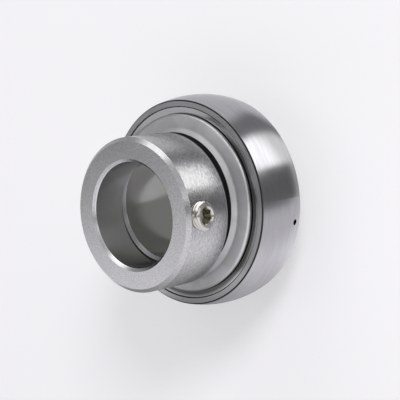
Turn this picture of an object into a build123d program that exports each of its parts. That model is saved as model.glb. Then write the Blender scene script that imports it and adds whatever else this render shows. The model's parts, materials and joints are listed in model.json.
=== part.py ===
from build123d import *

# Insert bearing with a wide inner ring, a spherical outside and an eccentric locking collar.
# The axis runs along Z with the collar on top, and the origin is the centre of the spherical outside.
# Sizes are in millimetres; "radius" is measured from the bearing's axis and "z" along it.

import os
from math import cos, radians, sin, sqrt

# Boundary sizes; with the ring walls and the balls below, the spherical outside comes to 62
bore_d = 30.0
inner_wall = 3.2175
outer_wall = 3.2175
outer_width = 17.0
inner_reach = 18.2
inner_chamfer = 0.9
outer_chamfer = 0.3

# Balls and raceways
ball_d = 9.525
ball_count = 9
first_ball_angle = 8.0
race_gap = 0.02
groove_conformity = 0.52
inner_shoulder = 1.63
outer_shoulder = 1.46

# Riveted ball cage, pressed from sheet in two halves
cage_gauge = 0.8
cage_width = 3.7
pocket_gap = 0.15
rivet_d = 1.4
rivet_head_d = 2.3
rivet_head_height = 0.45

# Seals: a dished steel washer in each end of the outer ring, with a rubber lip on its inner edge
seal_gauge = 0.8
seal_seat_wall = 1.68
seal_recess = 0.3
seal_flange_width = 2.1
seal_dish_width = 1.2
seal_edge_chamfer = 0.35
cage_side_gap = 0.55
lip_width = 1.75
lip_gap = 0.04
lip_tip_width = 0.3
lip_root_width = 0.8
wiper_width = 0.45
wiper_gap = 0.25

# Flingers: pressed sheet rings that turn with the inner ring and cover the seals
flinger_gauge = 0.8
flinger_hub_height = 2.82
flinger_hub_wall = 1.0
flinger_cone_height = 1.15
flinger_face_height = 1.0
flinger_rim_gap = 0.35
flinger_rim_inset = 0.1
flinger_bend = 0.7

# Eccentric cam on the inner ring's end, and the collar that locks on it
eccentricity = 0.9
cam_angle = -34.0
cam_step = 0.15
cam_root_gap = 0.9
cam_chamfer = 0.5
collar_turn = 68.0
collar_back_gap = 1.6
collar_cam_gap = 0.08
collar_end_gap = 0.7
collar_wall = 2.26
collar_nose = 11.2
collar_bore_gap = 0.15
collar_chamfer = 1.1
collar_bore_chamfer = 0.8
collar_back_round = 0.8

# Blind hole in the collar's side for a drift
drift_hole_d = 5.0
drift_hole_depth = 3.6
drift_hole_angle = 150.0
drift_point_angle = 118.0

# Set screw, backed out so that the shaft can enter
screw_d = 8.0
screw_gap = 0.05
screw_length = 7.0
screw_protrusion = 1.85
screw_chamfer = 0.6
screw_rise = 0.2
screw_angle = -1.5
key_across_flats = 4.0
key_depth = 3.6
cup_point_d = 4.4
cup_point_depth = 0.9

# Lubrication hole in the outer ring's rear half
lube_hole_d = 1.7
lube_hole_angle = -13.7
lube_hole_z = -5.3

# Radii and heights that follow from the sizes above
bore_r = bore_d / 2
ball_r = ball_d / 2
inner_race_r = bore_r + inner_wall
pitch_r = inner_race_r + race_gap + ball_r
outer_race_r = pitch_r + ball_r + race_gap
sphere_r = outer_race_r + outer_wall
groove_r = groove_conformity * ball_d
inner_land_r = inner_race_r + inner_shoulder
outer_land_r = outer_race_r - outer_shoulder
ball_step = 360 / ball_count

outer_half = outer_width / 2
outer_edge_r = sqrt(sphere_r**2 - outer_half**2)
seal_seat_r = outer_edge_r - seal_seat_wall

pocket_r = ball_r + pocket_gap
cage_half_height = pocket_r + cage_gauge

dish_back_z = cage_half_height + cage_side_gap
dish_front_z = dish_back_z + seal_gauge
flange_front_z = outer_half - seal_recess
flange_back_z = flange_front_z - seal_gauge
flange_in_r = seal_seat_r - seal_flange_width
dish_out_r = flange_in_r - seal_dish_width
dish_in_r = inner_land_r + lip_width
seat_floor_z = min(flange_back_z, dish_back_z)

hub_end_z = outer_half + flinger_hub_height
ridge_r = inner_land_r + flinger_hub_wall + flinger_cone_height
ridge_z = hub_end_z - flinger_cone_height
rim_r = flange_in_r - flinger_rim_inset
rim_front_z = outer_half + flinger_face_height
rim_back_z = flange_front_z + flinger_rim_gap

cam_r = inner_land_r - eccentricity - cam_step
cam_root_z = hub_end_z + cam_root_gap
cam_x = eccentricity * cos(radians(cam_angle))
cam_y = eccentricity * sin(radians(cam_angle))

collar_bore_r = bore_r + collar_bore_gap
counterbore_r = cam_r + collar_cam_gap
collar_r = counterbore_r + eccentricity + collar_wall
collar_back_z = cam_root_z + collar_back_gap
counterbore_z = inner_reach + collar_end_gap
collar_face_z = counterbore_z + collar_nose
collar_mid_z = (counterbore_z + collar_face_z) / 2 + screw_rise

screw_r = screw_d / 2
screw_head_r = collar_r + screw_protrusion
screw_tip_r = screw_head_r - screw_length


def turned(*points):
    """Solid of revolution about the bearing's axis, from the (radius, z) corners of its section."""
    section = make_face(Polyline(*points, close=True))
    return revolve(Plane.XZ * section, Axis.Z)


def both_ends(shape):
    """The same shape at the front, as made, and at the rear, mirrored."""
    return shape, mirror(shape, Plane.XY)


def polar(radius, angle, z=0.0):
    """Location at a radius, an angle in degrees and a height, turned to face outwards."""
    return Rot(0, 0, angle) * Pos(radius, 0, z)


def bore_cutter(radius, chamfer, low, high):
    """Core of a through bore whose ends are chamfered at 45 degrees."""
    over = 1.0
    return turned(
        (0, low - over),
        (radius + chamfer + over, low - over),
        (radius, low + chamfer),
        (radius, high - chamfer),
        (radius + chamfer + over, high + over),
        (0, high + over),
    )


def make_outer_ring():
    """Outer ring: ground sphere outside, deep groove raceway and two seal seats inside."""
    corner_r = outer_edge_r - outer_chamfer
    over = sphere_r - corner_r + 1.0
    ring = turned(
        (outer_land_r, -seat_floor_z),
        (seal_seat_r, -seat_floor_z),
        (seal_seat_r, -outer_half),
        (corner_r, -outer_half),
        (corner_r + over, over - outer_half),
        (corner_r + over, outer_half - over),
        (corner_r, outer_half),
        (seal_seat_r, outer_half),
        (seal_seat_r, seat_floor_z),
        (outer_land_r, seat_floor_z),
    )
    ring &= Sphere(sphere_r)
    ring -= Torus(outer_race_r - groove_r, groove_r)
    drill = Rot(0, 90, 0) * Cylinder(lube_hole_d / 2, sphere_r, align=(Align.CENTER, Align.CENTER, Align.MIN))
    return ring - Rot(0, 0, lube_hole_angle) * Pos(pitch_r, 0, lube_hole_z) * drill


def make_inner_ring():
    """Inner ring: wide on both sides, with a deep groove raceway and an eccentric cam on its front end."""
    body = turned(
        (0, -inner_reach),
        (inner_land_r - inner_chamfer, -inner_reach),
        (inner_land_r, inner_chamfer - inner_reach),
        (inner_land_r, cam_root_z),
        (0, cam_root_z),
    )
    cam = turned(
        (0, 0),
        (cam_r, 0),
        (cam_r, inner_reach - cam_chamfer),
        (cam_r - cam_chamfer, inner_reach),
        (0, inner_reach),
    )
    ring = body + Pos(cam_x, cam_y, 0) * cam
    ring -= Torus(inner_race_r + groove_r, groove_r)
    return ring - bore_cutter(bore_r, inner_chamfer, -inner_reach, inner_reach)


def make_ball(number):
    """One ball, numbered from 1, in its place between the raceways."""
    return polar(pitch_r, first_ball_angle + number * ball_step) * Sphere(ball_r)


def make_cage_half():
    """Front half of the cage: a flat ring with a domed pocket over each ball and a rivet hole between."""
    blank = Cylinder(pitch_r + cage_width / 2, cage_gauge, align=(Align.CENTER, Align.CENTER, Align.MIN))
    limit_out = Cylinder(pitch_r + cage_width / 2, cage_half_height, align=(Align.CENTER, Align.CENTER, Align.MIN))
    limit_in = Cylinder(pitch_r - cage_width / 2, 2 * cage_half_height)
    domes = []
    pockets = []
    holes = []
    for number in range(ball_count):
        at_ball = first_ball_angle + number * ball_step
        domes.append(polar(pitch_r, at_ball) * Sphere(pocket_r + cage_gauge))
        pockets.append(polar(pitch_r, at_ball) * Sphere(pocket_r))
        holes.append(polar(pitch_r, at_ball + ball_step / 2) * Cylinder(rivet_d / 2, 4 * cage_gauge))
    return (blank + domes) & limit_out - limit_in - pockets - holes


def make_rivets():
    """The cage's rivets: one in each web between two balls, with a button head on both sides."""
    top_r = rivet_head_d / 2 - rivet_head_height
    rivet = turned(
        (0, -cage_gauge - rivet_head_height),
        (top_r, -cage_gauge - rivet_head_height),
        (rivet_head_d / 2, -cage_gauge),
        (rivet_d / 2, -cage_gauge),
        (rivet_d / 2, cage_gauge),
        (rivet_head_d / 2, cage_gauge),
        (top_r, cage_gauge + rivet_head_height),
        (0, cage_gauge + rivet_head_height),
    )
    angles = [first_ball_angle + (number + 0.5) * ball_step for number in range(ball_count)]
    return Compound(children=[polar(pitch_r, angle) * rivet for angle in angles])


def make_seal_washer():
    """Front seal washer: flange in the outer ring's seat, dished inwards to its inner edge."""
    return turned(
        (dish_in_r, dish_back_z),
        (dish_out_r, dish_back_z),
        (flange_in_r, flange_back_z),
        (seal_seat_r, flange_back_z),
        (seal_seat_r, flange_front_z - seal_edge_chamfer),
        (seal_seat_r - seal_edge_chamfer, flange_front_z),
        (flange_in_r, flange_front_z),
        (dish_out_r, dish_front_z),
        (dish_in_r, dish_front_z),
    )


def make_seal_lip():
    """Front rubber seal: a radial lip on the inner ring and a wiper that leans towards the flinger."""
    lip_r = inner_land_r + lip_gap
    root_r = dish_in_r - lip_root_width
    wiper_z = ridge_z - flinger_gauge - wiper_gap
    return turned(
        (dish_in_r, dish_back_z),
        (root_r, dish_back_z),
        (lip_r, dish_back_z),
        (lip_r, dish_back_z + lip_tip_width),
        (root_r, dish_front_z),
        (root_r, wiper_z),
        (root_r + wiper_width, wiper_z),
        (dish_in_r, dish_front_z),
    )


def make_flinger():
    """Front flinger: hub pressed on the inner ring, cone, shallow face and a rim bent back over the seal."""
    slope = (ridge_z - rim_front_z) / (rim_r - ridge_r)
    back_r = rim_r - flinger_gauge
    hub_r = inner_land_r + flinger_hub_wall
    under_z = ridge_z - flinger_gauge
    outline = FilletPolyline(
        (hub_r, hub_end_z),
        (ridge_r, ridge_z),
        (rim_r, rim_front_z),
        (rim_r, rim_back_z),
        radius=[flinger_bend, flinger_bend],
    )
    inside = Polyline(
        (rim_r, rim_back_z),
        (back_r, rim_back_z),
        (back_r, under_z - slope * (back_r - ridge_r)),
        (ridge_r, under_z),
        (inner_land_r, under_z),
        (inner_land_r, hub_end_z),
        (hub_r, hub_end_z),
    )
    return revolve(Plane.XZ * make_face(outline + inside), Axis.Z)


def on_cam(shape):
    """Place of a collar part: turned about the cam from the position where both bores line up."""
    return Pos(cam_x, cam_y, 0) * Rot(0, 0, collar_turn) * Pos(-cam_x, -cam_y, 0) * shape


def make_collar():
    """Locking collar: counterbore that fits the cam, a tapped hole and a blind hole for a drift."""
    blank = turned(
        (0, collar_back_z),
        (collar_r, collar_back_z),
        (collar_r, collar_face_z - collar_chamfer),
        (collar_r - collar_chamfer, collar_face_z),
        (0, collar_face_z),
    )
    back_edge = blank.edges().filter_by(GeomType.CIRCLE).group_by(Axis.Z)[0]
    blank = fillet(back_edge, collar_back_round)
    blank -= bore_cutter(collar_bore_r, collar_bore_chamfer, collar_back_z, collar_face_z)
    counterbore = Cylinder(counterbore_r, counterbore_z, align=(Align.CENTER, Align.CENTER, Align.MIN))
    blank -= Pos(cam_x, cam_y, 0) * counterbore
    tapped = Rot(0, 90, 0) * Cylinder(screw_r + screw_gap, collar_r, align=(Align.CENTER, Align.CENTER, Align.MIN))
    blank -= Rot(0, 0, screw_angle - collar_turn) * Pos(bore_r / 2, 0, collar_mid_z) * tapped
    drift = Rot(0, 90, 0) * turned(
        (0, -drift_hole_d / 2 / sin(radians(drift_point_angle / 2))),
        (drift_hole_d / 2, 0),
        (drift_hole_d / 2, drift_hole_depth),
        (0, drift_hole_depth),
    )
    blank -= Rot(0, 0, drift_hole_angle - collar_turn) * Pos(collar_r - drift_hole_depth, 0, collar_mid_z) * drift
    return on_cam(blank)


def make_set_screw():
    """Set screw: chamfered ends, a hexagon socket outside and a cup point towards the shaft."""
    blank = turned(
        (0, 0),
        (screw_r - screw_chamfer, 0),
        (screw_r, screw_chamfer),
        (screw_r, screw_length - screw_chamfer),
        (screw_r - screw_chamfer, screw_length),
        (0, screw_length),
    )
    hexagon = RegularPolygon(key_across_flats / 2, 6, major_radius=False)
    socket = extrude(Pos(0, 0, screw_length) * hexagon, -key_depth)
    cup = turned((0, -1), (cup_point_d / 2 + 1, -1), (cup_point_d / 2, 0), (0, cup_point_depth))
    screw = blank - socket - cup
    place = Rot(0, 0, screw_angle - collar_turn) * Pos(screw_tip_r, 0, collar_mid_z) * Rot(0, 90, 0)
    return on_cam(place * screw)


def make_parts():
    """Every separate piece by its name."""
    parts = {"outer_ring": make_outer_ring(), "inner_ring": make_inner_ring()}
    for number in range(ball_count):
        parts[f"ball_{number + 1}"] = make_ball(number)
    parts["cage_front"], parts["cage_rear"] = both_ends(make_cage_half())
    parts["cage_rivets"] = make_rivets()
    parts["seal_washer_front"], parts["seal_washer_rear"] = both_ends(make_seal_washer())
    parts["seal_lip_front"], parts["seal_lip_rear"] = both_ends(make_seal_lip())
    parts["flinger_front"], parts["flinger_rear"] = both_ends(make_flinger())
    parts["locking_collar"] = make_collar()
    parts["set_screw"] = make_set_screw()
    return parts


os.makedirs("parts", exist_ok=True)
for name, shape in make_parts().items():
    export_step(shape, f"parts/{name}.step")
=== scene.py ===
import json
from math import atan2, cos, floor, hypot, pi, radians, sin

import bmesh
import bpy
from mathutils import Matrix, Vector


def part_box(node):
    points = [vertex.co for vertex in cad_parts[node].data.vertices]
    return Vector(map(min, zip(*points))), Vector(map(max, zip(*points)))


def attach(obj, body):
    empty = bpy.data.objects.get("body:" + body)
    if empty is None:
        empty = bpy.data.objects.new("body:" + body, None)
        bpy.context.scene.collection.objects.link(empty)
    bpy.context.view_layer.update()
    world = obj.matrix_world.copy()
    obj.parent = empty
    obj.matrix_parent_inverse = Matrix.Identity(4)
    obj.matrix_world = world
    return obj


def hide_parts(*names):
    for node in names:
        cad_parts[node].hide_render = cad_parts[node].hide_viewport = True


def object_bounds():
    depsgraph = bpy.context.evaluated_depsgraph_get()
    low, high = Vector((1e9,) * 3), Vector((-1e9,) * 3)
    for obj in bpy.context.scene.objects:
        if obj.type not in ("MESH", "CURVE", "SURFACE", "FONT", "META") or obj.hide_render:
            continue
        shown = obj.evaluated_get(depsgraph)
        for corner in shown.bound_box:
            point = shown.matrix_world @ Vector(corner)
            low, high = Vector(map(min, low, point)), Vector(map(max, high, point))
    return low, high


# Insert bearing with an eccentric locking collar, standing on its rear end on a pale studio floor.
# Lengths are in metres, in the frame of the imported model: the bearing's axis is Z, and the collar
# is on top.

MM = 0.001

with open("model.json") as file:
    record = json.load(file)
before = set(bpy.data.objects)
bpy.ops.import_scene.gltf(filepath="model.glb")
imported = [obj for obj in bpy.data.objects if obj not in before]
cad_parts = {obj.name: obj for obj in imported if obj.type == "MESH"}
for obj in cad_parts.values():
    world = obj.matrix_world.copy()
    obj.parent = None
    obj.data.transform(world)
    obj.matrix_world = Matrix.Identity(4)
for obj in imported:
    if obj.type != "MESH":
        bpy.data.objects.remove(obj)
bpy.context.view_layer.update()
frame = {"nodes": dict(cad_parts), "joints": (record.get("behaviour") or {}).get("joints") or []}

# Camera, as the photograph looks at the bearing: its own up is the row's +Y
CAMERA_PLACE = Vector((299.7, 38.6, 322.3)) * MM
CAMERA_RIGHT = Vector((0.7331, -0.0813, -0.6752))
CAMERA_UP = Vector((0.0, 0.9928, -0.1196))
CAMERA_LENS = 135.0

# Studio, by the direction in which a surface looks: each colour is the light that comes from there.
# +Y is up in the photograph, where a pale table lies under a dark room with softboxes.
ROOM_COLOUR = (0.16, 0.16, 0.165, 1)
CEILING_COLOUR = (0.40, 0.40, 0.41, 1)
CEILING_FROM, CEILING_TO = 0.45, 0.80
TABLE_COLOUR = (0.80, 0.785, 0.82, 1)
TABLE_FROM, TABLE_TO = -0.22, -0.40
PALE_COLOUR = (0.97, 0.965, 0.98, 1)
BACKDROP_PLACE = (-0.66, -0.09, -0.74)
BACKDROP_HALF = 0.22
BACKDROP_SOFTNESS = 0.14

# Cards: each has its light and then its edges, as (direction towards its inside, offset, softness)
BOX_TOP = (0.73, -0.62, -0.29)
BOX_BOTTOM = (-0.37, 0.92, 0.13)
LIGHT_WALL = (
    (0.68, 0.67, 0.69, 1),
    ((-0.97, 0, -0.26), 0.0, 0.16),
    ((0, 0, -1), 0.0, 0.2),
    ((0, 1, 0), -0.2, 0.05),
)
BLACK_FLAG = (
    (0.25, 0.25, 0.26, 1),
    (BOX_TOP, -0.31, 0.08),
    ((0.97, 0, -0.25), 0.0, 0.12),
    (BOX_BOTTOM, 0.0, 0.03),
)
LARGE_BOX_EDGE = (
    (1.05, 1.05, 1.05, 1),
    (BOX_TOP, 0.0, 0.07),
    ((1, 0, -0.09), 0.0, 0.10),
    (BOX_BOTTOM, 0.0, 0.035),
)
LARGE_BOX_CORE = (
    (1.9, 1.9, 1.9, 1),
    (BOX_TOP, 0.0, 0.08),
    ((0.88, 0, 0.47), 0.0, 0.22),
    (BOX_BOTTOM, 0.0, 0.035),
)
CARDS = (LIGHT_WALL, BLACK_FLAG, LARGE_BOX_EDGE, LARGE_BOX_CORE)

# Softboxes: where each is, its half width and half height as tangents, its soft edge and its light
SOFTBOXES = (
    ((-0.40, 0.22, 0.89), 0.38, 0.24, 0.16, (0.60, 0.60, 0.61, 1)),
    ((-0.40, 0.12, 0.91), 0.16, 0.12, 0.12, (2.2, 2.2, 2.2, 1)),
    ((0.45, 0.58, 0.66), 0.42, 0.36, 0.22, (0.66, 0.66, 0.67, 1)),
    ((-0.14, 0.87, 0.46), 0.32, 0.24, 0.12, (2.1, 2.1, 2.1, 1)),
)

# Key lamp over the bearing, which casts its soft shadow on the floor
KEY_DIRECTION = Vector((0.60, 0.58, 0.60))
KEY_DISTANCE = 1.5
KEY_WIDTH, KEY_HEIGHT = 0.46, 0.38
KEY_POWER = 12.5

FLOOR_HALF = 3.0
FLOOR_COLOUR = (0.92, 0.907, 0.935, 1)
FLOOR_GLOW = 0.43
# Painted reflection that glows in the bore's far end for mirror rays: pale below, darker above
BORE_REFLECTION_PALE_COLOUR = (0.59, 0.58, 0.60, 1)
BORE_REFLECTION_DARK_COLOUR = (0.295, 0.295, 0.29, 1)
BORE_DARK_FROM_Y = -5.4 * MM
FAR_END_RADIUS = 16 * MM

# Reflected table: the pale surface under the bearing in the photograph, which only its metal shows.
# Each shade is what is left of its light, over a reach from one distance to another.
MIRROR_CARD_LEVEL = -31.3 * MM
MIRROR_CARD_LOW = Vector((-0.60, -0.40))
MIRROR_CARD_HIGH = Vector((0.26, 0.55))
MIRROR_CARD_COLOUR = (1.09, 1.07, 1.11, 1)
CONTACT_X = -8 * MM
CONTACT_FROM_Z, CONTACT_TO_Z = -10 * MM, 16 * MM
CONTACT_REACH, CONTACT_SHADE = (4 * MM, 46 * MM), 0.26
BESIDE_REACH, BESIDE_SHADE = (15 * MM, 60 * MM), 0.68
RIGHT_REACH, RIGHT_SHADE = (80 * MM, 230 * MM), 0.22
BEHIND_REACH = (70 * MM, -10 * MM)
FAR_REACH, FAR_SHADE = (80 * MM, 750 * MM), 0.45

# Places on the bearing that the finishes need
SIDE_FACE_Z = 8.5 * MM
SIDE_CHAMFER = 0.43 * MM
EDGE_BLEND = 0.04 * MM
RING_END_Z = 17.1 * MM
CAM_FROM_Z = 9.5 * MM
CAM_FROM_RADIUS = 17.6 * MM
HUB_TOP_Z = 10 * MM
HUB_TOP_RADIUS = 20.75 * MM
FLINGER_BEND = (24.9 * MM, 25.4 * MM)
WASHER_RIM_RADIUS = 26.7 * MM
WASHER_MIDDLE_RADIUS = 27 * MM
WASHER_UPPER_Y = 14 * MM
COLLAR_BACK_Z = 13.82 * MM
COLLAR_RADIUS = 22.04 * MM
COLLAR_BORE_RADIUS = 15.15 * MM
BORE_RADIUS = 15.0 * MM

# Finishes: colours, and pairs of colours for the low and the high places of a pattern
NOISE_RANGE = (0.3, 0.7)
STREAK_RANGE = (0.36, 0.64)
FILM_RANGE = (0.42, 0.66)
FILM_DULLNESS = 0.05
SPHERE_COLOURS = ((0.485, 0.485, 0.505, 1), (0.545, 0.545, 0.56, 1))
SIDE_FACE_COLOURS = ((0.38, 0.38, 0.385, 1), (0.50, 0.50, 0.505, 1))
CHAMFER_COLOUR = (0.05, 0.05, 0.055, 1)
RING_COLOURS = ((0.46, 0.46, 0.46, 1), (0.54, 0.54, 0.54, 1))
RING_BORE_COLOURS = ((0.50, 0.50, 0.495, 1), (0.485, 0.485, 0.455, 1))
RING_END_COLOUR = (0.25, 0.25, 0.255, 1)
# Painted shade on the inner ring's cam and land, in the gap under the collar
CAM_SHADE_COLOUR = (0.09, 0.09, 0.09, 1)
COLLAR_FACE_COLOURS = ((0.46, 0.46, 0.465, 1), (0.56, 0.56, 0.565, 1))
COLLAR_SIDE_COLOURS = ((0.465, 0.465, 0.47, 1), (0.655, 0.655, 0.66, 1))
COLLAR_BORE_COLOUR = (0.72, 0.72, 0.735, 1)
# Painted shade on the collar's back edge, over the gap
COLLAR_BACK_SHADE_COLOUR = (0.38, 0.38, 0.38, 1)
SCREW_COLOURS = ((0.57, 0.56, 0.52, 1), (0.67, 0.66, 0.62, 1))
SOCKET_COLOUR = (0.44, 0.435, 0.375, 1)
ZINC_COLOURS = ((0.66, 0.665, 0.675, 1), (0.58, 0.585, 0.59, 1))
# Painted shade on the flingers' hub end, in the gap under the collar
HUB_SHADE_COLOUR = (0.09, 0.09, 0.09, 1)
WASHER_COLOURS = ((0.42, 0.42, 0.43, 1), (0.53, 0.53, 0.54, 1))
WASHER_RELIEF = 0.004 * MM
WASHER_DISH = 0.115
# Painted shade beside the flinger's rim on the seal washers, strongest on the lower side
PAINTED_SHADE_COLOUR = (0.05, 0.05, 0.045, 1)
RUBBER_COLOURS = ((0.018, 0.018, 0.019, 1), (0.034, 0.034, 0.035, 1))
CAGE_COLOURS = ((0.52, 0.51, 0.49, 1), (0.42, 0.41, 0.37, 1))
RIVET_COLOURS = ((0.52, 0.52, 0.52, 1), (0.64, 0.64, 0.63, 1))
BALL_COLOURS = ((0.72, 0.72, 0.73, 1), (0.66, 0.66, 0.65, 1))

# Set screw
SCREW_LENGTH = 7.0 * MM
SCREW_RADIUS = 4.0 * MM
THREAD_PITCH = 1.0 * MM
THREAD_DEPTH = 0.6 * MM
THREAD_CREST = 0.14
THREAD_ROOT = 0.18
END_CHAMFER = 0.8 * MM
TURN_STEPS = 96
KEY_FLATS = 4.0 * MM
KEY_DEPTH = 3.6 * MM
KEY_DRILL_DEPTH = 0.7 * MM
KEY_DRILL_RADIUS = 1.96 * MM
KEY_MOUTH = 0.3 * MM
KEY_MOUTH_RADIUS = KEY_FLATS / 2 / cos(pi / 6) + KEY_MOUTH
KEY_TURN = radians(8)
SOCKET_RADIUS = 2.2 * MM
SOCKET_DARK_DEPTH = 0.6 * MM
CUP_RADIUS = 2.2 * MM
CUP_DEPTH = 0.9 * MM
TIP_RADIUS = 0.001 * MM
CUT_TOLERANCE = 0.001 * MM
LEVEL_TOLERANCE = 0.01 * MM
SEAM_WELD = 0.002 * MM
TIP_WELD = 0.003 * MM
SHARP_ANGLE = radians(28)

# Colour sockets of a Mix node, which has sockets of the same names for its other kinds of data
MIX_FIRST, MIX_SECOND, MIX_RESULT = 6, 7, 2


def put(tree, value, socket):
    """Gives an input a number or colour, or links another node's output to it."""
    if isinstance(value, bpy.types.NodeSocket):
        tree.links.new(value, socket)
    else:
        socket.default_value = value


def add(tree, kind, inputs=None, **settings):
    """A new node with its settings and inputs."""
    node = tree.nodes.new(kind)
    for name, value in settings.items():
        setattr(node, name, value)
    for name, value in (inputs or {}).items():
        put(tree, value, node.inputs[name])
    return node


def calc(tree, operation, *values):
    """Output of a Math node."""
    node = add(tree, "ShaderNodeMath", operation=operation)
    for value, socket in zip(values, node.inputs):
        put(tree, value, socket)
    return node.outputs[0]


def vector_calc(tree, operation, *values):
    """Output of a Vector Math node: a number for a dot product or a length, else a vector."""
    node = add(tree, "ShaderNodeVectorMath", operation=operation)
    for value, socket in zip(values, node.inputs):
        put(tree, value, socket)
    return node.outputs["Value" if operation in ("DOT_PRODUCT", "LENGTH") else "Vector"]


def ramp(tree, value, start, end, low=0.0, high=1.0):
    """Number that goes smoothly from low to high while value goes from start to end."""
    inputs = {"Value": value, "From Min": start, "From Max": end, "To Min": low, "To Max": high}
    node = add(tree, "ShaderNodeMapRange", inputs, interpolation_type="SMOOTHSTEP")
    return node.outputs["Result"]


def mix(tree, factor, first, second):
    """Colour between two others."""
    node = add(tree, "ShaderNodeMix", data_type="RGBA")
    put(tree, factor, node.inputs["Factor"])
    put(tree, first, node.inputs[MIX_FIRST])
    put(tree, second, node.inputs[MIX_SECOND])
    return node.outputs[MIX_RESULT]


def blend_shaders(tree, factor, first, second):
    """Mix of two shader nodes."""
    node = add(tree, "ShaderNodeMixShader")
    put(tree, factor, node.inputs[0])
    put(tree, first.outputs[0], node.inputs[1])
    put(tree, second.outputs[0], node.inputs[2])
    return node


def new_group(name, inputs, outputs):
    """Empty shader node group with named number and vector sockets, and its two end nodes."""
    tree = bpy.data.node_groups.new(name, "ShaderNodeTree")
    for label, kind in inputs:
        tree.interface.new_socket(name=label, in_out="INPUT", socket_type=kind)
    for label, kind in outputs:
        tree.interface.new_socket(name=label, in_out="OUTPUT", socket_type=kind)
    return tree, add(tree, "NodeGroupInput").outputs, add(tree, "NodeGroupOutput").inputs


def use(tree, group, **inputs):
    """Places a node group and returns its outputs."""
    node = add(tree, "ShaderNodeGroup", node_tree=group)
    for name, value in inputs.items():
        put(tree, value, node.inputs[name.capitalize()])
    return node.outputs


def make_edge_group():
    """Mask of all directions on one side of a straight edge in space."""
    names = [("Direction", "NodeSocketVector"), ("Inside", "NodeSocketVector")]
    names += [(name, "NodeSocketFloat") for name in ("Offset", "Softness")]
    tree, given, result = new_group("card edge", names, [("Mask", "NodeSocketFloat")])
    inwards = vector_calc(tree, "NORMALIZE", given["Inside"])
    depth = vector_calc(tree, "DOT_PRODUCT", given["Direction"], inwards)
    share = calc(tree, "DIVIDE", calc(tree, "SUBTRACT", depth, given["Offset"]), given["Softness"])
    put(tree, ramp(tree, share, -1.0, 1.0), result["Mask"])
    return tree


def make_softbox_group():
    """Mask of a rectangular lamp with soft edges: half its width and height are tangents."""
    names = [("Direction", "NodeSocketVector"), ("Centre", "NodeSocketVector")]
    names += [(name, "NodeSocketFloat") for name in ("Width", "Height", "Softness")]
    tree, given, result = new_group("softbox", names, [("Mask", "NodeSocketFloat")])
    centre = vector_calc(tree, "NORMALIZE", given["Centre"])
    across = vector_calc(tree, "NORMALIZE", vector_calc(tree, "CROSS_PRODUCT", centre, (0, 1, 0)))
    upwards = vector_calc(tree, "CROSS_PRODUCT", across, centre)
    ahead = vector_calc(tree, "DOT_PRODUCT", given["Direction"], centre)
    least_depth, least_ahead = 0.05, 0.1
    depth = calc(tree, "MAXIMUM", ahead, least_depth)
    masks = []
    for axis, size in ((across, given["Width"]), (upwards, given["Height"])):
        offset = vector_calc(tree, "DOT_PRODUCT", given["Direction"], axis)
        share = calc(tree, "DIVIDE", offset, depth)
        past = calc(tree, "SUBTRACT", calc(tree, "ABSOLUTE", share), size)
        inside = calc(tree, "DIVIDE", past, given["Softness"])
        masks.append(ramp(tree, inside, 1.0, -1.0))
    front = calc(tree, "GREATER_THAN", ahead, least_ahead)
    put(tree, calc(tree, "MULTIPLY", calc(tree, "MULTIPLY", *masks), front), result["Mask"])
    return tree


def make_marks_group():
    """Tool marks of a turned or ground surface: streaks round the Z axis of the given vector."""
    names = [("Vector", "NodeSocketVector")]
    names += [(name, "NodeSocketFloat") for name in ("Fineness", "Breaks")]
    tree, given, result = new_group("tool marks", names, [("Height", "NodeSocketFloat")])
    place = add(tree, "ShaderNodeSeparateXYZ", {"Vector": given["Vector"]}).outputs
    flat = add(tree, "ShaderNodeCombineXYZ", {"X": place["X"], "Y": place["Y"]}).outputs[0]
    radius = vector_calc(tree, "LENGTH", flat)
    facing = vector_calc(tree, "NORMALIZE", flat)
    round_it = add(tree, "ShaderNodeSeparateXYZ", {"Vector": facing}).outputs
    slant = 1.37
    along = calc(tree, "MULTIPLY_ADD", place["Z"], slant, radius)
    streaks = {
        "X": calc(tree, "MULTIPLY", along, given["Fineness"]),
        "Y": calc(tree, "MULTIPLY", round_it["X"], given["Breaks"]),
        "Z": calc(tree, "MULTIPLY", round_it["Y"], given["Breaks"]),
    }
    where = add(tree, "ShaderNodeCombineXYZ", streaks).outputs[0]
    inputs = {"Vector": where, "Scale": 1.0, "Detail": 3.0, "Roughness": 0.6}
    noise = add(tree, "ShaderNodeTexNoise", inputs)
    put(tree, noise.outputs["Fac"], result["Height"])
    return tree


def make_film_group():
    """Patches of a thin oil film, where the surface is a little duller."""
    names = [("Vector", "NodeSocketVector"), ("Patches", "NodeSocketFloat")]
    tree, given, result = new_group("oil film", names, [("Mask", "NodeSocketFloat")])
    inputs = {"Vector": given["Vector"], "Scale": given["Patches"]}
    inputs |= {"Detail": 5.0, "Roughness": 0.55, "Distortion": 0.6}
    noise = add(tree, "ShaderNodeTexNoise", inputs)
    put(tree, ramp(tree, noise.outputs["Fac"], *FILM_RANGE), result["Mask"])
    return tree


def make_grain_group():
    """Fine even grain of a blasted, plated or moulded surface."""
    names = [("Vector", "NodeSocketVector"), ("Fineness", "NodeSocketFloat")]
    tree, given, result = new_group("fine grain", names, [("Height", "NodeSocketFloat")])
    inputs = {"Vector": given["Vector"], "Scale": given["Fineness"]}
    inputs |= {"Detail": 2.0, "Roughness": 0.7}
    noise = add(tree, "ShaderNodeTexNoise", inputs)
    put(tree, noise.outputs["Fac"], result["Height"])
    return tree


CARD_EDGE = make_edge_group()
SOFTBOX = make_softbox_group()
TOOL_MARKS = make_marks_group()
OIL_FILM = make_film_group()
FINE_GRAIN = make_grain_group()


def new_material(name):
    """Empty material, its node tree and its Object coordinates."""
    material = bpy.data.materials.new(name)
    material.use_nodes = True
    material.node_tree.nodes.clear()
    tree = material.node_tree
    return material, tree, add(tree, "ShaderNodeTexCoord").outputs["Object"]


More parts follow.
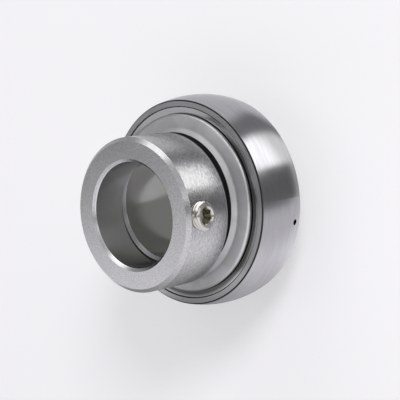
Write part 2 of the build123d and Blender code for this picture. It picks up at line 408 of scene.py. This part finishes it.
def centred(tree, coords, place, turn=(0, 0, 0)):
    """Coordinates from another centre and direction on the same piece."""
    inputs = {"Vector": coords, "Location": place, "Rotation": turn}
    return add(tree, "ShaderNodeMapping", inputs, vector_type="TEXTURE").outputs[0]


def finish_metal(tree, colour, roughness, height, depth):
    """Bare metal with a pattern of heights in its surface, depth metres from lowest to highest."""
    bump = add(tree, "ShaderNodeBump", {"Height": height, "Distance": depth, "Strength": 1.0})
    inputs = {"Base Color": colour, "Roughness": roughness, "Metallic": 1.0}
    inputs["Normal"] = bump.outputs[0]
    shader = add(tree, "ShaderNodeBsdfPrincipled", inputs)
    add(tree, "ShaderNodeOutputMaterial", {"Surface": shader.outputs[0]})


def radius_of(tree, coords):
    """Distance from the Z axis of the coordinates."""
    return vector_calc(tree, "LENGTH", vector_calc(tree, "MULTIPLY", coords, (1, 1, 0)))


def axis_of(tree, coords, axis):
    """One axis of the coordinates."""
    return add(tree, "ShaderNodeSeparateXYZ", {"Vector": coords}).outputs[axis]


def below(tree, value, edge, blend):
    """Mask of 1 up to an edge that falls to 0 over a blend behind it."""
    return ramp(tree, value, edge + blend, edge)


def above(tree, value, edge, blend):
    """Mask of 0 up to an edge that rises to 1 over a blend behind it."""
    return ramp(tree, value, edge, edge + blend)


def raised(tree, base, pattern, by):
    """A base value that grows with a pattern."""
    return calc(tree, "MULTIPLY_ADD", pattern, by, base)


def make_ground_steel():
    """Outer ring: ground and polished sphere, duller turned side faces, dark unground edges."""
    material, tree, coords = new_material("ground_steel")
    marks = use(tree, TOOL_MARKS, vector=coords, fineness=2600.0, breaks=5.0)["Height"]
    bands = use(tree, TOOL_MARKS, vector=coords, fineness=420.0, breaks=3.0)["Height"]
    film = use(tree, OIL_FILM, vector=coords, patches=60.0)["Mask"]
    height = calc(tree, "ABSOLUTE", axis_of(tree, coords, "Z"))
    side = above(tree, height, SIDE_FACE_Z - SIDE_CHAMFER, blend=EDGE_BLEND)
    face = above(tree, height, SIDE_FACE_Z - EDGE_BLEND, blend=0.03 * MM)
    chamfer = calc(tree, "SUBTRACT", side, face)
    streaks = raised(tree, base=calc(tree, "MULTIPLY", bands, 0.5), pattern=marks, by=0.5)
    ground = mix(tree, ramp(tree, streaks, *NOISE_RANGE), *SPHERE_COLOURS)
    edged = mix(tree, side, ground, CHAMFER_COLOUR)
    colour = mix(tree, face, edged, mix(tree, marks, *SIDE_FACE_COLOURS))
    sheen = ramp(tree, streaks, *NOISE_RANGE, low=0.19, high=0.145)
    oiled = raised(tree, base=sheen, pattern=film, by=FILM_DULLNESS)
    duller = raised(tree, base=oiled, pattern=side, by=0.10)
    roughness = raised(tree, base=duller, pattern=chamfer, by=0.40)
    relief = calc(tree, "MULTIPLY", marks, ramp(tree, side, 0.0, 1.0, low=0.3))
    finish_metal(tree, colour, roughness, relief, depth=0.010 * MM)
    return material


def make_inner_ring_steel():
    """Inner ring: ground steel with an oily bore, dull ends, and painted shade on the cam under the
    collar.
    """
    material, tree, coords = new_material("inner_ring_steel")
    marks = use(tree, TOOL_MARKS, vector=coords, fineness=2200.0, breaks=4.0)["Height"]
    film = use(tree, OIL_FILM, vector=coords, patches=90.0)["Mask"]
    radius = radius_of(tree, coords)
    height = axis_of(tree, coords, "Z")
    bore = below(tree, radius, BORE_RADIUS + 0.05 * MM, blend=0.25 * MM)
    ends = above(tree, calc(tree, "ABSOLUTE", height), RING_END_Z, blend=0.3 * MM)
    outside = above(tree, radius, CAM_FROM_RADIUS, blend=0.4 * MM)
    # Painted shade on the cam and land under the collar; the same zone is also duller
    cam = calc(tree, "MULTIPLY", outside, above(tree, height, CAM_FROM_Z, blend=0.3 * MM))
    steel = mix(tree, marks, *RING_COLOURS)
    lined = mix(tree, bore, steel, mix(tree, film, *RING_BORE_COLOURS))
    faced = mix(tree, ends, lined, RING_END_COLOUR)
    colour = mix(tree, cam, faced, CAM_SHADE_COLOUR)
    dull = raised(tree, base=0.19, pattern=calc(tree, "MAXIMUM", ends, cam), by=0.16)
    smooth = raised(tree, base=dull, pattern=bore, by=-0.08)
    roughness = raised(tree, base=smooth, pattern=film, by=FILM_DULLNESS)
    finish_metal(tree, colour, roughness, marks, depth=0.010 * MM)
    return material


def make_turned_steel(centre):
    """Locking collar: turning marks outside, satin end face, bright bore, painted shade on the back
    edge.
    """
    material, tree, row = new_material("turned_steel")
    coords = centred(tree, row, centre)
    marks = use(tree, TOOL_MARKS, vector=coords, fineness=2600.0, breaks=24.0)["Height"]
    grain = use(tree, FINE_GRAIN, vector=coords, fineness=2400.0)["Height"]
    film = use(tree, OIL_FILM, vector=coords, patches=110.0)["Mask"]
    radius = radius_of(tree, coords)
    outside = above(tree, radius, COLLAR_RADIUS - 0.15 * MM, blend=0.13 * MM)
    bore = below(tree, radius, COLLAR_BORE_RADIUS + 0.05 * MM, blend=0.15 * MM)
    # Painted shade on the collar's back edge, over the dark gap
    back = below(tree, axis_of(tree, coords, "Z"), COLLAR_BACK_Z + 0.1 * MM, blend=0.6 * MM)
    grainy = mix(tree, ramp(tree, grain, *NOISE_RANGE), *COLLAR_FACE_COLOURS)
    streaked = mix(tree, ramp(tree, marks, *STREAK_RANGE), *COLLAR_SIDE_COLOURS)
    lined = mix(tree, bore, mix(tree, outside, grainy, streaked), COLLAR_BORE_COLOUR)
    colour = mix(tree, back, lined, COLLAR_BACK_SHADE_COLOUR)
    satin = raised(tree, base=0.25, pattern=film, by=FILM_DULLNESS)
    roughness = raised(tree, base=satin, pattern=bore, by=-0.04)
    pattern = mix(tree, outside, grain, marks)
    relief = calc(tree, "MULTIPLY", pattern, ramp(tree, outside, 0.0, 1.0, low=0.5))
    finish_metal(tree, colour, roughness, relief, depth=0.032 * MM)
    return material


def make_screw_steel(place, turn):
    """Set screw: bright plated steel, darker inside its socket."""
    material, tree, row = new_material("screw_steel")
    coords = centred(tree, row, place, turn)
    grain = use(tree, FINE_GRAIN, vector=coords, fineness=4000.0)["Height"]
    socket = below(tree, radius_of(tree, coords), SOCKET_RADIUS, blend=0.25 * MM)
    dark_z = SCREW_LENGTH - SOCKET_DARK_DEPTH
    deep = below(tree, axis_of(tree, coords, "Z"), dark_z, blend=0.5 * MM)
    dark = calc(tree, "MULTIPLY", socket, deep)
    colour = mix(tree, dark, mix(tree, grain, *SCREW_COLOURS), SOCKET_COLOUR)
    roughness = raised(tree, base=0.14, pattern=grain, by=0.12)
    finish_metal(tree, colour, roughness, grain, depth=0.003 * MM)
    return material


def make_flinger_zinc():
    """Flingers: pressed sheet with a fine-grained zinc finish, smoother outside its bend.

    The hub's end has painted shade, where it lies in the gap under the collar.
    """
    material, tree, coords = new_material("flinger_zinc")
    grain = use(tree, FINE_GRAIN, vector=coords, fineness=2600.0)["Height"]
    marks = use(tree, TOOL_MARKS, vector=coords, fineness=1300.0, breaks=3.0)["Height"]
    film = use(tree, OIL_FILM, vector=coords, patches=80.0)["Mask"]
    radius = radius_of(tree, coords)
    height = calc(tree, "ABSOLUTE", axis_of(tree, coords, "Z"))
    # Painted shade on the hub's end, in the gap under the collar
    inside = below(tree, radius, HUB_TOP_RADIUS, blend=0.1 * MM)
    top = calc(tree, "MULTIPLY", inside, above(tree, height, HUB_TOP_Z, blend=1 * MM))
    colour = mix(tree, top, mix(tree, film, *ZINC_COLOURS), HUB_SHADE_COLOUR)
    bend = ramp(tree, radius, *FLINGER_BEND, low=0.56, high=0.34)
    roughness = raised(tree, base=bend, pattern=film, by=FILM_DULLNESS)
    finish_metal(tree, colour, roughness, calc(tree, "ADD", marks, grain), depth=0.008 * MM)
    return material


def make_seal_steel():
    """Seal washers: pressed sheet, darker than the flingers.

    There is painted shade beside the flinger's rim, stronger on the lower side, and a slight dish
    in the upper side.
    """
    material, tree, coords = new_material("seal_steel")
    grain = use(tree, FINE_GRAIN, vector=coords, fineness=2400.0)["Height"]
    marks = use(tree, TOOL_MARKS, vector=coords, fineness=1600.0, breaks=3.0)["Height"]
    radius = radius_of(tree, coords)
    upper = above(tree, axis_of(tree, coords, "Y"), WASHER_UPPER_Y, blend=10 * MM)
    # Painted shade beside the flinger's rim: strong on the lower side, weak on the upper side
    shade_share = raised(tree, base=0.85, pattern=upper, by=-0.75)
    rim = below(tree, radius, WASHER_RIM_RADIUS, blend=1.2 * MM)
    painted_shade = calc(tree, "MULTIPLY", rim, shade_share)
    colour = mix(tree, painted_shade, mix(tree, marks, *WASHER_COLOURS), PAINTED_SHADE_COLOUR)
    roughness = raised(tree, base=0.14, pattern=grain, by=0.06)
    slope = calc(tree, "MULTIPLY", upper, WASHER_DISH / WASHER_RELIEF)
    dish = calc(tree, "MULTIPLY", calc(tree, "SUBTRACT", radius, WASHER_MIDDLE_RADIUS), slope)
    relief = calc(tree, "ADD", calc(tree, "ADD", marks, grain), dish)
    finish_metal(tree, colour, roughness, relief, depth=WASHER_RELIEF)
    return material


def make_seal_rubber():
    """Seal lips: moulded black rubber with a fine matt grain."""
    material, tree, coords = new_material("seal_rubber")
    grain = use(tree, FINE_GRAIN, vector=coords, fineness=5200.0)["Height"]
    colour = mix(tree, grain, *RUBBER_COLOURS)
    bump = add(tree, "ShaderNodeBump", {"Height": grain, "Distance": 0.01 * MM})
    roughness = raised(tree, base=0.52, pattern=grain, by=0.15)
    inputs = {"Base Color": colour, "Roughness": roughness, "Normal": bump.outputs[0]}
    shader = add(tree, "ShaderNodeBsdfPrincipled", inputs)
    add(tree, "ShaderNodeOutputMaterial", {"Surface": shader.outputs[0]})
    return material


def make_cage_steel():
    """Cage: plain pressed sheet with faint smears of oil."""
    material, tree, coords = new_material("cage_steel")
    grain = use(tree, FINE_GRAIN, vector=coords, fineness=1800.0)["Height"]
    film = use(tree, OIL_FILM, vector=coords, patches=140.0)["Mask"]
    colour = mix(tree, film, *CAGE_COLOURS)
    roughness = raised(tree, base=0.38, pattern=film, by=-0.10)
    finish_metal(tree, colour, roughness, grain, depth=0.006 * MM)
    return material


def make_rivet_steel():
    """Rivets: headed wire, a little brighter than the cage."""
    material, tree, coords = new_material("rivet_steel")
    grain = use(tree, FINE_GRAIN, vector=coords, fineness=3600.0)["Height"]
    colour = mix(tree, grain, *RIVET_COLOURS)
    roughness = raised(tree, base=0.22, pattern=grain, by=0.10)
    finish_metal(tree, colour, roughness, grain, depth=0.004 * MM)
    return material


def make_ball_steel():
    """Balls: lapped to a mirror, with a trace of oil."""
    material, tree, coords = new_material("ball_steel")
    film = use(tree, OIL_FILM, vector=coords, patches=220.0)["Mask"]
    grain = use(tree, FINE_GRAIN, vector=coords, fineness=6000.0)["Height"]
    colour = mix(tree, film, *BALL_COLOURS)
    roughness = raised(tree, base=0.04, pattern=film, by=0.06)
    finish_metal(tree, colour, roughness, grain, depth=0.0005 * MM)
    return material


def thread_points():
    """Section of one thread as (share of the pitch, radius): root, flank, crest, flank."""
    root_r = SCREW_RADIUS - THREAD_DEPTH
    flank = (1 - THREAD_CREST - THREAD_ROOT) / 2
    crest_start = THREAD_ROOT + flank
    crest_end = crest_start + THREAD_CREST
    points = [(0.0, root_r)]
    steps = 3
    for step in range(steps + 1):
        share = step / steps
        points.append((THREAD_ROOT + flank * share, root_r + THREAD_DEPTH * share))
    for step in range(steps):
        share = step / steps
        points.append((crest_end + flank * share, SCREW_RADIUS - THREAD_DEPTH * share))
    return points


def make_shank():
    """Open threaded shank along Z, spun as a helix, cut flat at both ends and chamfered there."""
    bm = bmesh.new()
    spare = 2
    turns = int(SCREW_LENGTH / THREAD_PITCH) + 2 * spare
    chain = []
    for turn in range(turns):
        for share, radius in thread_points():
            chain.append(bm.verts.new((radius, 0, (turn - spare + share) * THREAD_PITCH)))
    edges = [bm.edges.new(pair) for pair in zip(chain, chain[1:])]
    bmesh.ops.spin(
        bm,
        geom=chain + edges,
        cent=(0, 0, 0),
        axis=(0, 0, 1),
        dvec=Vector((0, 0, THREAD_PITCH / TURN_STEPS)),
        angle=2 * pi,
        steps=TURN_STEPS,
    )
    bmesh.ops.remove_doubles(bm, verts=bm.verts, dist=SEAM_WELD)
    for level, up in ((0.0, False), (SCREW_LENGTH, True)):
        everything = bm.verts[:] + bm.edges[:] + bm.faces[:]
        bmesh.ops.bisect_plane(
            bm,
            geom=everything,
            dist=CUT_TOLERANCE,
            plane_co=(0, 0, level),
            plane_no=(0, 0, 1),
            clear_inner=not up,
            clear_outer=up,
        )
    for vert in bm.verts:
        inset = max(0.0, END_CHAMFER - min(vert.co.z, SCREW_LENGTH - vert.co.z))
        scale = min(1.0, (SCREW_RADIUS - inset) / hypot(vert.co.x, vert.co.y))
        vert.co.xy = vert.co.xy * scale
    return bm


def end_loop(bm, level):
    """Open edges of the shank at a height."""
    found = []
    for edge in bm.edges:
        first, second = (abs(vert.co.z - level) for vert in edge.verts)
        if edge.is_boundary and max(first, second) < LEVEL_TOLERANCE:
            found.append(edge)
    return found


def step_in(bm, edges, place):
    """Extrudes a loop of edges and puts each new point where place(angle) says, as (radius, z)."""
    made = bmesh.ops.extrude_edge_only(bm, edges=edges)["geom"]
    for vert in [item for item in made if isinstance(item, bmesh.types.BMVert)]:
        angle = atan2(vert.co.y, vert.co.x)
        radius, z = place(angle)
        vert.co = (radius * cos(angle), radius * sin(angle), z)
    return [item for item in made if isinstance(item, bmesh.types.BMEdge)]


def hexagon_radius(angle):
    """Distance of the socket's wall from the screw's axis at an angle."""
    sixth = pi / 3
    turned = angle - KEY_TURN
    return KEY_FLATS / 2 / cos(turned - sixth * floor(turned / sixth) - sixth / 2)


def below_mouth(angle):
    """Upper edge of the socket's wall, below the chamfer of its mouth, as (radius, z)."""
    radius = hexagon_radius(angle)
    return radius, SCREW_LENGTH - KEY_MOUTH_RADIUS + radius


def make_set_screw(place, turn):
    """Set screw: threaded shank, hexagon socket with a chamfered mouth, and a cup point."""
    bm = make_shank()
    bottom = SCREW_LENGTH - KEY_DEPTH
    rim = end_loop(bm, SCREW_LENGTH)
    loop = step_in(bm, rim, lambda angle: (KEY_MOUTH_RADIUS, SCREW_LENGTH))
    loop = step_in(bm, loop, below_mouth)
    loop = step_in(bm, loop, lambda angle: (hexagon_radius(angle), bottom))
    loop = step_in(bm, loop, lambda angle: (KEY_DRILL_RADIUS, bottom))
    step_in(bm, loop, lambda angle: (TIP_RADIUS, bottom - KEY_DRILL_DEPTH))
    loop = step_in(bm, end_loop(bm, 0.0), lambda angle: (CUP_RADIUS, 0.0))
    step_in(bm, loop, lambda angle: (TIP_RADIUS, CUP_DEPTH))
    bmesh.ops.remove_doubles(bm, verts=bm.verts, dist=TIP_WELD)
    bmesh.ops.recalc_face_normals(bm, faces=bm.faces)
    for face in bm.faces:
        face.smooth = True
    for edge in bm.edges:
        edge.smooth = len(edge.link_faces) == 2 and edge.calc_face_angle() < SHARP_ANGLE
    pose = Matrix.Translation(place) @ turn.to_matrix().to_4x4()
    bmesh.ops.transform(bm, matrix=pose, verts=bm.verts)
    return link_piece(bm, "threaded_set_screw")


def link_piece(bm, name):
    """New object from a bmesh, at the origin."""
    mesh = bpy.data.meshes.new(name)
    bm.to_mesh(mesh)
    bm.free()
    piece = bpy.data.objects.new(name, mesh)
    bpy.context.scene.collection.objects.link(piece)
    return piece


def coat(piece, material):
    """Gives a piece one material in place of those that it has."""
    piece.data.materials.clear()
    piece.data.materials.append(material)


def middle(node):
    """Centre of a CAD node's box."""
    low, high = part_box(node)
    return (low + high) / 2


def dress_bearing():
    """Materials of the CAD nodes, and the threaded screw in place of the plain one.

    The first start that fits a node's name counts, so cage_rivets comes before cage.
    """
    collar = middle("locking_collar")
    finishes = {
        "outer_ring": make_ground_steel(),
        "inner_ring": make_inner_ring_steel(),
        "locking_collar": make_turned_steel((collar.x, collar.y, 0)),
        "flinger": make_flinger_zinc(),
        "seal_washer": make_seal_steel(),
        "seal_lip": make_seal_rubber(),
        "cage_rivets": make_rivet_steel(),
        "cage": make_cage_steel(),
        "ball": make_ball_steel(),
    }
    for name, node in frame["nodes"].items():
        for start, material in finishes.items():
            if name.startswith(start):
                coat(node, material)
                break
    advance = next(joint for joint in frame["joints"] if joint["name"] == "screw_advance")
    outwards = -Vector(advance["axis"]).normalized()
    tip = middle("set_screw") - outwards * SCREW_LENGTH / 2
    turn = outwards.to_track_quat("Z", "Y").to_euler()
    screw = make_set_screw(tip, turn)
    coat(screw, make_screw_steel(tip, turn))
    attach(screw, "set_screw")
    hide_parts("set_screw")


def make_studio():
    """World: the studio's light by direction, and a pale background, which the metal mirrors."""
    world = bpy.data.worlds.new("studio")
    bpy.context.scene.world = world
    world.use_nodes = True
    tree = world.node_tree
    tree.nodes.clear()
    direction = add(tree, "ShaderNodeTexCoord").outputs["Generated"]
    upwards = axis_of(tree, direction, "Y")
    light = mix(tree, ramp(tree, upwards, CEILING_FROM, CEILING_TO), ROOM_COLOUR, CEILING_COLOUR)
    light = mix(tree, ramp(tree, upwards, TABLE_FROM, TABLE_TO), light, TABLE_COLOUR)
    for colour, *edges in CARDS:
        mask = 1.0
        for inside, offset, softness in edges:
            shape = {"inside": inside, "offset": offset, "softness": softness}
            edge = use(tree, CARD_EDGE, direction=direction, **shape)["Mask"]
            mask = calc(tree, "MULTIPLY", mask, edge)
        light = mix(tree, mask, light, colour)
    for centre, width, height, softness, colour in SOFTBOXES:
        shape = {"centre": centre, "width": width, "height": height, "softness": softness}
        box = use(tree, SOFTBOX, direction=direction, **shape)["Mask"]
        light = mix(tree, box, light, colour)
    shape = {"width": BACKDROP_HALF, "height": BACKDROP_HALF, "softness": BACKDROP_SOFTNESS}
    backdrop = use(tree, SOFTBOX, direction=direction, centre=BACKDROP_PLACE, **shape)["Mask"]
    path = add(tree, "ShaderNodeLightPath").outputs
    mirrored = calc(tree, "MAXIMUM", path["Is Glossy Ray"], path["Is Transmission Ray"])
    seen = calc(tree, "MAXIMUM", path["Is Camera Ray"], calc(tree, "MULTIPLY", mirrored, backdrop))
    background = add(tree, "ShaderNodeBackground", {"Color": mix(tree, seen, light, PALE_COLOUR)})
    add(tree, "ShaderNodeOutputWorld", {"Surface": background.outputs[0]})


def make_key_lamp():
    """Large soft lamp that looks at the bearing."""
    lamp = bpy.data.lights.new("key_lamp", "AREA")
    lamp.shape = "RECTANGLE"
    lamp.size = KEY_WIDTH
    lamp.size_y = KEY_HEIGHT
    lamp.energy = KEY_POWER
    holder = bpy.data.objects.new("key_lamp", lamp)
    bpy.context.scene.collection.objects.link(holder)
    towards = KEY_DIRECTION.normalized()
    turn = towards.to_track_quat("Z", "X").to_matrix().to_4x4()
    holder.matrix_world = Matrix.Translation(towards * KEY_DISTANCE) @ turn
    holder.visible_glossy = False


def make_floor():
    """Plain pale floor under the rear end. It keeps the shadow.

    The metal looks through it to the studio's table and backdrop, as in the photograph.
    Inside the bore's far end the floor glows with a painted reflection for mirror rays: the pale
    table below and the darker room above.
    """
    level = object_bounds()[0].z
    bm = bmesh.new()
    bmesh.ops.create_grid(bm, x_segments=1, y_segments=1, size=FLOOR_HALF)
    bmesh.ops.translate(bm, vec=(0, 0, level), verts=bm.verts)
    floor_piece = link_piece(bm, "floor")
    material, tree, coords = new_material("pale_floor")
    path = add(tree, "ShaderNodeLightPath").outputs
    diffuse = add(tree, "ShaderNodeBsdfDiffuse", {"Color": FLOOR_COLOUR})
    glow = add(tree, "ShaderNodeEmission", {"Color": PALE_COLOUR, "Strength": 1.0})
    lift = calc(tree, "MULTIPLY", path["Is Camera Ray"], FLOOR_GLOW)
    pale = blend_shaders(tree, lift, diffuse, glow)
    clear = add(tree, "ShaderNodeBsdfTransparent")
    through = calc(tree, "MAXIMUM", path["Is Glossy Ray"], path["Is Transmission Ray"])
    # Painted reflection in the bore's far end: pale table below, darker room above, glowing for
    # mirror rays
    upper = above(tree, axis_of(tree, coords, "Y"), BORE_DARK_FROM_Y, blend=2.2 * MM)
    painted_reflection_colour = mix(tree, upper, BORE_REFLECTION_PALE_COLOUR, BORE_REFLECTION_DARK_COLOUR)
    painted_far_end = add(tree, "ShaderNodeEmission", {"Color": painted_reflection_colour})
    outside = calc(tree, "GREATER_THAN", radius_of(tree, coords), FAR_END_RADIUS)
    beyond = blend_shaders(tree, outside, painted_far_end, clear)
    surface = blend_shaders(tree, through, pale, beyond)
    add(tree, "ShaderNodeOutputMaterial", {"Surface": surface.outputs[0]})
    coat(floor_piece, material)


def make_mirror_card():
    """Table that only the metal shows: shaded where the bearing touches it, and darker far away."""
    bm = bmesh.new()
    bmesh.ops.create_grid(bm, x_segments=1, y_segments=1, size=0.5)
    size = MIRROR_CARD_HIGH - MIRROR_CARD_LOW
    centre = (MIRROR_CARD_HIGH + MIRROR_CARD_LOW) / 2
    bmesh.ops.scale(bm, vec=(size.x, size.y, 1), verts=bm.verts)
    bmesh.ops.rotate(bm, matrix=Matrix.Rotation(-pi / 2, 3, "X"), verts=bm.verts)
    bmesh.ops.translate(bm, vec=(centre.x, MIRROR_CARD_LEVEL, centre.y), verts=bm.verts)
    card = link_piece(bm, "mirror_card")
    material, tree, coords = new_material("mirrored_table")
    x = axis_of(tree, coords, "X")
    z = axis_of(tree, coords, "Z")
    nearest = add(tree, "ShaderNodeClamp", {"Value": z, "Min": CONTACT_FROM_Z, "Max": CONTACT_TO_Z})
    ahead = calc(tree, "SUBTRACT", z, nearest.outputs[0])
    aside = calc(tree, "SUBTRACT", x, CONTACT_X)
    away = add(tree, "ShaderNodeCombineXYZ", {"X": aside, "Z": ahead}).outputs[0]
    contact = ramp(tree, vector_calc(tree, "LENGTH", away), *CONTACT_REACH, low=CONTACT_SHADE)
    beside = ramp(tree, x, *BESIDE_REACH, low=1.0, high=BESIDE_SHADE)
    right = ramp(tree, x, *RIGHT_REACH, low=1.0, high=RIGHT_SHADE)
    behind = ramp(tree, z, *BEHIND_REACH)
    faded = calc(tree, "MULTIPLY", beside, right)
    side = calc(tree, "MULTIPLY_ADD", calc(tree, "SUBTRACT", faded, 1.0), behind, 1.0)
    far = ramp(tree, calc(tree, "SUBTRACT", z, x), *FAR_REACH, low=1.0, high=FAR_SHADE)
    strength = calc(tree, "MULTIPLY", calc(tree, "MULTIPLY", contact, side), far)
    glow = add(tree, "ShaderNodeEmission", {"Color": MIRROR_CARD_COLOUR, "Strength": strength})
    add(tree, "ShaderNodeOutputMaterial", {"Surface": glow.outputs[0]})
    coat(card, material)
    card.visible_camera = False
    card.visible_diffuse = False
    card.visible_shadow = False


def make_camera():
    """Camera at the photograph's viewing angle."""
    camera = bpy.data.objects.new("camera", bpy.data.cameras.new("camera"))
    bpy.context.scene.collection.objects.link(camera)
    backwards = CAMERA_RIGHT.cross(CAMERA_UP)
    turn = Matrix((CAMERA_RIGHT, CAMERA_UP, backwards)).transposed()
    camera.matrix_world = Matrix.Translation(CAMERA_PLACE) @ turn.to_4x4()
    camera.data.lens = CAMERA_LENS
    camera.data.clip_start = 0.01
    camera.data.clip_end = 20
    bpy.context.scene.camera = camera


bpy.context.scene.view_settings.view_transform = "Standard"
make_camera()
make_studio()
make_key_lamp()
dress_bearing()
make_floor()
make_mirror_card()
